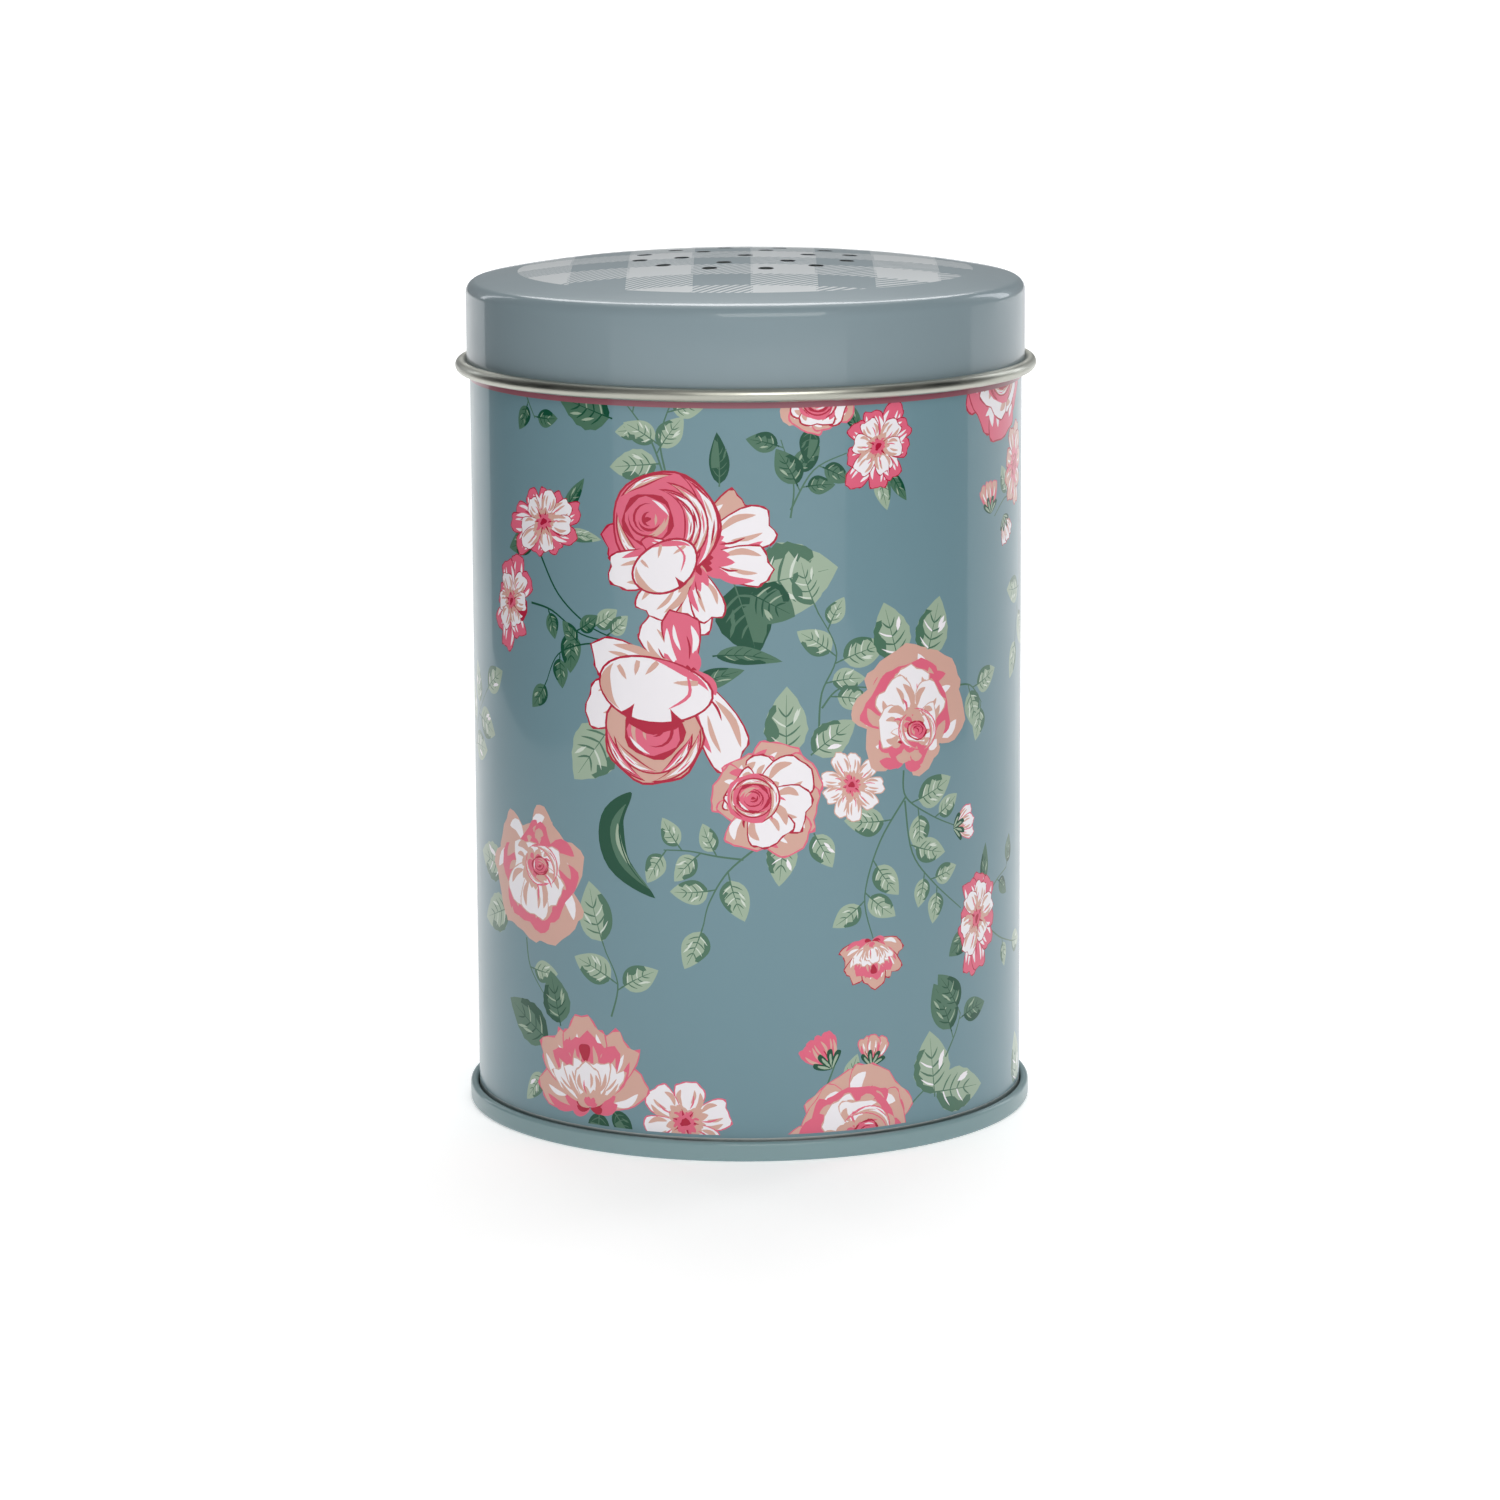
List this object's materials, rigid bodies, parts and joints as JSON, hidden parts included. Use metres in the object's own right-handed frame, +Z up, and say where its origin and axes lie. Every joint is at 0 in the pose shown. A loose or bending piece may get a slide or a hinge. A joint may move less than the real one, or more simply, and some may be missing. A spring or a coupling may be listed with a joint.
{
  "type": "shaker tin",
  "caption": "Round printed tinplate shaker tin for powder: rolled can with a double-seamed base, and a domed slip-on lid with sifter holes that lifts off.",
  "frame": {"origin": "centre of the standing face, on the tin's axis, at the lowest point of the base seam", "axes": "+Z up along the tin's axis towards the lid's crown; the can's lock seam is at +Y, at the back"},
  "size_m": [0.0768, 0.0768, 0.1134],
  "materials": {
    "printed_enamel": "satin litho-printed enamel on tinplate",
    "lid_enamel": "satin enamel on tinplate, bare tin inside and on the curl",
    "base_enamel": "satin enamel on tinplate",
    "seam_compound": "matt flowed-in sealing compound"
  },
  "bodies": {
    "can": {"can_body": "printed_enamel", "base_end": "base_enamel", "seam_compound": "seam_compound"},
    "lid": {"shaker_lid": "lid_enamel"}
  },
  "joints": [
    {"name": "lid_lift", "type": "slide", "parent": "can", "child": "lid", "axis": [0, 0, 1], "range_m": [0, 0.06]}
  ]
}
